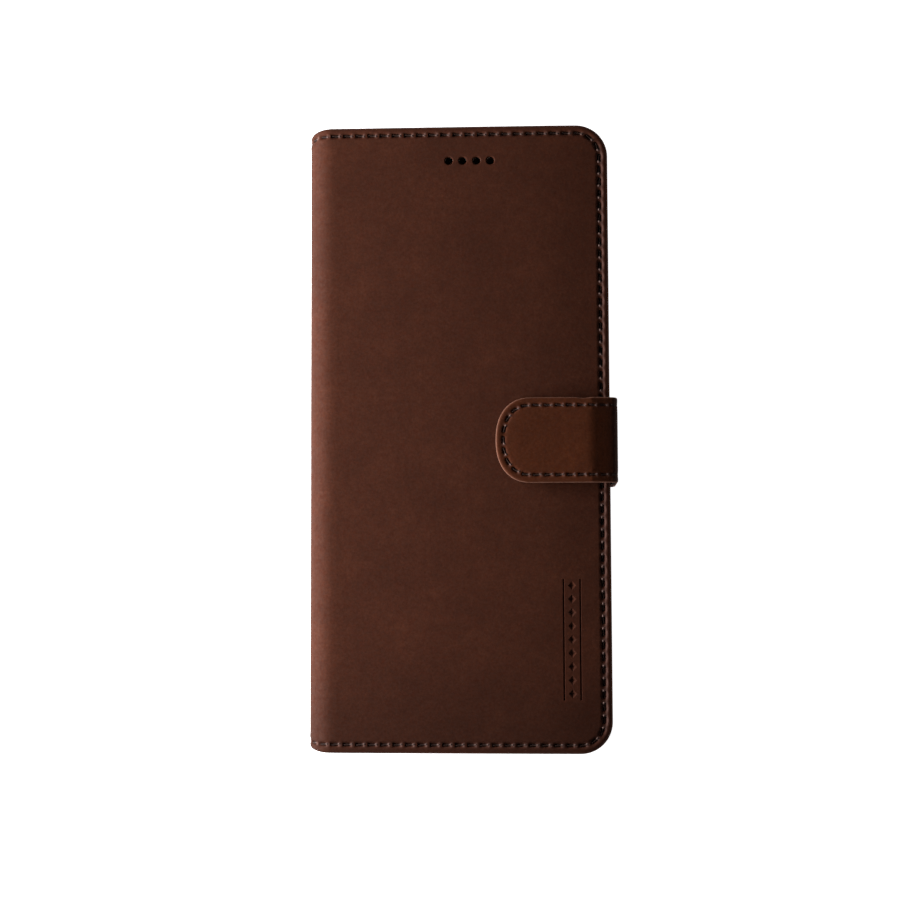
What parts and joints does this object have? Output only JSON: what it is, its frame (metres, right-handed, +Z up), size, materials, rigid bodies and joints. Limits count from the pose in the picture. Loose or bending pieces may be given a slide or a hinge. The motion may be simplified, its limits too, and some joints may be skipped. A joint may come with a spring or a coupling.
{
  "type": "phone wallet case",
  "caption": "Leather folio case for a phone: cover on a folding spine, magnetic clasp strap over the free edge, moulded tray with keys, card pockets inside.",
  "frame": {"origin": "centre of the bounding box's bottom face, on the surface that the case lies on", "axes": "+Y towards the top of the phone (the longest extent), +X towards the clasp edge, with the spine at -X, +Z up out of the front cover (the shortest extent)"},
  "size_m": [0.082, 0.168, 0.0188],
  "materials": {
    "outer_leather": "smooth matte leather, dark brown with a reddish cloud mottle",
    "strap_leather": "smooth matte leather, a little more olive brown than the covers",
    "lining": "fine-grained thin leather, dark brown, matte",
    "thread": "waxed polyester sewing thread, pinkish brown",
    "tray_rubber": "soft moulded thermoplastic rubber, dark brown, satin",
    "board": "grey-brown bookbinder's board, matte",
    "adhesive": "pale double-sided adhesive sheet",
    "steel": "plain nickel-plated steel"
  },
  "bodies": {
    "back_cover": {"back_leather": "outer_leather", "back_board": "board", "back_lining": "lining", "back_seam_thread": "thread", "tray_adhesive": "adhesive", "strap_root": "strap_leather", "phone_tray": "tray_rubber"},
    "spine": {"spine_leather": "outer_leather", "spine_lining": "lining", "spine_thread_top": "thread", "spine_thread_bottom": "thread"},
    "front_cover": {"front_leather": "outer_leather", "front_board": "board", "clasp_plate": "steel", "front_lining": "lining", "front_seam_thread": "thread", "cash_pocket": "lining", "card_pocket_top": "lining", "card_pocket_middle": "lining", "card_pocket_bottom": "lining"},
    "strap_side": {"strap_side_leather": "strap_leather", "strap_side_lining": "lining", "strap_side_thread_top": "thread", "strap_side_thread_bottom": "thread"},
    "strap_flap": {"strap_flap_leather": "strap_leather", "strap_flap_lining": "lining", "strap_flap_stiffener": "board", "strap_magnet": "steel", "strap_flap_thread": "thread"},
    "volume_key": {"volume_key": "tray_rubber"},
    "power_key": {"power_key": "tray_rubber"}
  },
  "joints": [
    {"name": "rear_fold", "type": "hinge", "parent": "back_cover", "child": "spine", "pos_m": [-0.03971, 0, 0.00129], "axis": [0, -1, 0], "range_deg": [0, 90]},
    {"name": "front_fold", "type": "hinge", "parent": "spine", "child": "front_cover", "pos_m": [-0.03971, 0, 0.01521], "axis": [0, -1, 0], "range_deg": [0, 90]},
    {"name": "strap_root_bend", "type": "hinge", "parent": "back_cover", "child": "strap_side", "pos_m": [0.04059, 0, 0.00126], "axis": [0, 1, 0], "range_deg": [0, 90]},
    {"name": "strap_clasp_bend", "type": "hinge", "parent": "strap_side", "child": "strap_flap", "pos_m": [0.04059, 0, 0.01749], "axis": [0, 1, 0], "range_deg": [0, 90]},
    {"name": "volume_key_press", "type": "slide", "parent": "back_cover", "child": "volume_key", "axis": [-1, 0, 0], "range_m": [0, 0.0004], "stiffness_N_per_m": 800},
    {"name": "power_key_press", "type": "slide", "parent": "back_cover", "child": "power_key", "axis": [-1, 0, 0], "range_m": [0, 0.0004], "stiffness_N_per_m": 800}
  ]
}
